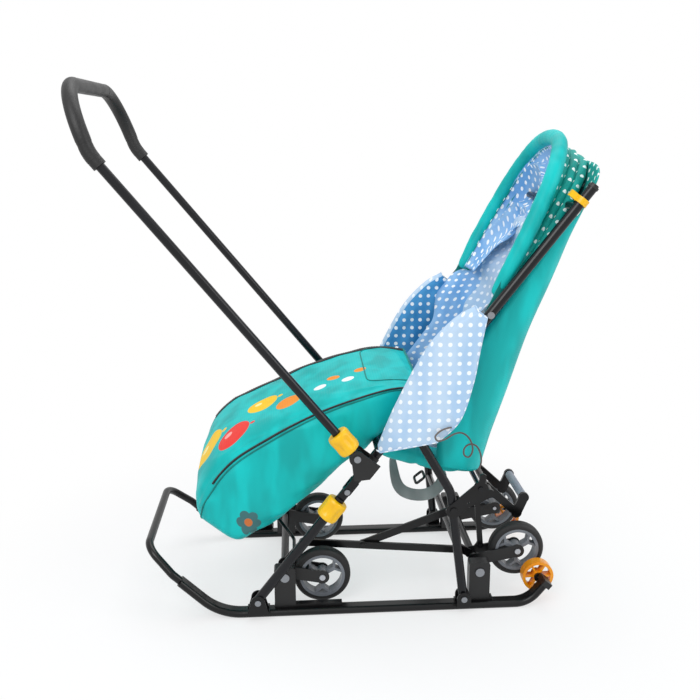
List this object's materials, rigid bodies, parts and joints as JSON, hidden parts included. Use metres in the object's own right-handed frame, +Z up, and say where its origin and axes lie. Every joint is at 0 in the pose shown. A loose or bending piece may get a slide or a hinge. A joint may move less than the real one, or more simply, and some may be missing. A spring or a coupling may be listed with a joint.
{
  "type": "sled stroller",
  "caption": "Folding sled stroller on flat-oval runners with drop-down road wheels, a flip-over push handle, teal foot muff, dotted liner and folding hood.",
  "frame": {"origin": "on the floor, under the middle of the overall box", "axes": "+X towards the back, +Y towards the child's right, +Z up"},
  "size_m": [0.9637, 0.494, 1.0296],
  "materials": {
    "runner_black": "gloss",
    "frame_navy": "gloss",
    "black_plastic": "satin",
    "axle_steel": "brushed",
    "rivet_steel": "polished",
    "tyre_rubber": "matte",
    "rim_grey": "silver",
    "orange_plastic": "satin",
    "yellow_plastic": "gloss",
    "grip_rubber": "ribbed",
    "sleeve_grey": "satin",
    "teal_nylon": "coated",
    "liner_dots": "brushed cotton",
    "dotted_nylon": "coated",
    "webbing": "woven",
    "lace": "braided"
  },
  "bodies": {
    "base": {"runner_left": "runner_black", "runner_right": "runner_black", "front_bar": "frame_navy", "tail_caps": "black_plastic", "leg_brackets": "runner_black", "wheel_posts": "black_plastic", "base_rivets": "rivet_steel"},
    "transport_left": {"transport_wheel_left": "orange_plastic"},
    "transport_right": {"transport_wheel_right": "orange_plastic"},
    "front_crank": {"front_axle_tube": "axle_steel", "front_forks": "runner_black", "front_hub_bolts": "rivet_steel"},
    "rear_crank": {"rear_axle_tube": "axle_steel", "rear_forks": "runner_black", "rear_hub_bolts": "rivet_steel"},
    "front_wheel_left": {"front_tyre_left": "tyre_rubber", "front_rim_left": "rim_grey"},
    "front_wheel_right": {"front_tyre_right": "tyre_rubber", "front_rim_right": "rim_grey"},
    "rear_wheel_left": {"rear_tyre_left": "tyre_rubber", "rear_rim_left": "rim_grey"},
    "rear_wheel_right": {"rear_tyre_right": "tyre_rubber", "rear_rim_right": "rim_grey"},
    "tie_link": {"tie_bar": "frame_navy"},
    "pedal": {"pedal_lever": "runner_black", "pedal_sleeve": "sleeve_grey"},
    "strut": {"pedal_strut": "frame_navy"},
    "rear_legs": {"rear_leg_left": "frame_navy", "rear_leg_right": "frame_navy", "rear_stretcher": "frame_navy", "latch_plates": "runner_black", "hem_rod": "frame_navy"},
    "lower_legs": {"lower_leg_left": "frame_navy", "lower_leg_right": "frame_navy", "footrest_stay": "runner_black"},
    "lower_lock_left": {"lower_collar_left": "yellow_plastic"},
    "lower_lock_right": {"lower_collar_right": "yellow_plastic"},
    "main_frame": {"main_tube_left": "frame_navy", "main_tube_right": "frame_navy", "frame_bolts": "rivet_steel", "handle_brackets": "runner_black", "seat_front_bar": "frame_navy", "top_bar": "frame_navy", "tube_caps": "black_plastic", "hood_clips": "yellow_plastic", "foot_muff": "teal_nylon", "side_panel_left": "liner_dots", "side_panel_right": "liner_dots", "back_cover": "teal_nylon", "hood_cover": "dotted_nylon", "tie_lace": "lace"},
    "handle": {"handle_tube": "frame_navy", "handle_grip": "grip_rubber"},
    "upper_lock_left": {"upper_collar_left": "yellow_plastic"},
    "upper_lock_right": {"upper_collar_right": "yellow_plastic"},
    "hood": {"hood_arms": "frame_navy", "hood_edge": "teal_nylon"},
    "seat": {"seat_cushion": "teal_nylon", "seat_strap": "webbing"}
  },
  "joints": [
    {"name": "frame_fold", "type": "hinge", "parent": "base", "child": "lower_legs", "pos_m": [-0.17527, 0, 0.0425], "axis": [0, -1, 0], "range_deg": [0, 49.49], "deforming": ["back_cover"]},
    {"name": "fold_hinge", "type": "hinge", "parent": "lower_legs", "child": "main_frame", "pos_m": [0.00081, 0, 0.26787], "axis": [0, -1, 0], "range_deg": [-105.16, 0]},
    {"name": "rear_leg_fold", "type": "hinge", "parent": "base", "child": "rear_legs", "pos_m": [0.23173, 0, 0.0335], "axis": [0, -1, 0], "range_deg": [0, 28.05]},
    {"name": "seat_fold", "type": "hinge", "parent": "main_frame", "child": "seat", "pos_m": [0.06176, 0, 0.34588], "axis": [0, -1, 0], "range_deg": [0, 40.05]},
    {"name": "handle_flip", "type": "hinge", "parent": "main_frame", "child": "handle", "pos_m": [0.018, 0, 0.34835], "axis": [0, 1, 0], "range_deg": [0, 77]},
    {"name": "hood_swing", "type": "hinge", "parent": "main_frame", "child": "hood", "pos_m": [0.26616, 0, 0.6075], "axis": [0, -1, 0], "range_deg": [0, 75], "deforming": ["hood_cover"]},
    {"name": "wheel_lift", "type": "hinge", "parent": "base", "child": "front_crank", "pos_m": [-0.12227, 0, 0.0795], "axis": [0, 1, 0], "range_deg": [0, 27]},
    {"name": "rear_wheel_lift", "type": "hinge", "parent": "base", "child": "rear_crank", "pos_m": [0.26773, 0, 0.0765], "axis": [0, 1, 0], "range_deg": [0, 40.05]},
    {"name": "tie_bar_front", "type": "hinge", "parent": "front_crank", "child": "tie_link", "pos_m": [-0.08527, 0, 0.1215], "axis": [0, -1, 0], "range_deg": [0, 32.95]},
    {"name": "pedal_pivot", "type": "hinge", "parent": "tie_link", "child": "pedal", "pos_m": [0.03825, 0, 0.11061], "axis": [0, 1, 0], "range_deg": [0, 7.47]},
    {"name": "strut_foot", "type": "hinge", "parent": "rear_crank", "child": "strut", "pos_m": [0.28473, 0, 0.0955], "axis": [0, -1, 0], "range_deg": [0, 34.82]},
    {"name": "front_wheel_spin_left", "type": "hinge", "parent": "front_crank", "child": "front_wheel_left", "pos_m": [-0.04727, -0.134, 0.0645], "axis": [0, 1, 0], "continuous": true},
    {"name": "rear_wheel_spin_left", "type": "hinge", "parent": "rear_crank", "child": "rear_wheel_left", "pos_m": [0.35673, -0.106, 0.0925], "axis": [0, 1, 0], "continuous": true},
    {"name": "transport_spin_left", "type": "hinge", "parent": "base", "child": "transport_left", "pos_m": [0.39473, -0.142, 0.0475], "axis": [0, 1, 0], "continuous": true},
    {"name": "lower_lock_slide_left", "type": "slide", "parent": "lower_legs", "child": "lower_lock_left", "axis": [-0.6157, 0, -0.788], "range_m": [0, 0.06]},
    {"name": "upper_lock_slide_left", "type": "slide", "parent": "handle", "child": "upper_lock_left", "axis": [-0.6293, 0, 0.7771], "range_m": [0, 0.06]},
    {"name": "front_wheel_spin_right", "type": "hinge", "parent": "front_crank", "child": "front_wheel_right", "pos_m": [-0.04727, 0.134, 0.0645], "axis": [0, 1, 0], "continuous": true},
    {"name": "rear_wheel_spin_right", "type": "hinge", "parent": "rear_crank", "child": "rear_wheel_right", "pos_m": [0.35673, 0.106, 0.0925], "axis": [0, 1, 0], "continuous": true},
    {"name": "transport_spin_right", "type": "hinge", "parent": "base", "child": "transport_right", "pos_m": [0.39473, 0.142, 0.0475], "axis": [0, 1, 0], "continuous": true},
    {"name": "lower_lock_slide_right", "type": "slide", "parent": "lower_legs", "child": "lower_lock_right", "axis": [-0.6157, 0, -0.788], "range_m": [0, 0.06]},
    {"name": "upper_lock_slide_right", "type": "slide", "parent": "handle", "child": "upper_lock_right", "axis": [-0.6293, 0, 0.7771], "range_m": [0, 0.06]}
  ],
  "couplings": [
    {"joint": "fold_hinge", "follows": "frame_fold", "ratio": -2.1241},
    {"joint": "rear_leg_fold", "follows": "frame_fold", "ratio": 0.5658},
    {"joint": "seat_fold", "follows": "frame_fold", "ratio": 0.8083},
    {"joint": "rear_wheel_lift", "follows": "wheel_lift", "ratio": 1.4815},
    {"joint": "tie_bar_front", "follows": "wheel_lift", "ratio": 1.2187},
    {"joint": "pedal_pivot", "follows": "wheel_lift", "ratio": 0.2749},
    {"joint": "strut_foot", "follows": "wheel_lift", "ratio": 1.2876}
  ]
}
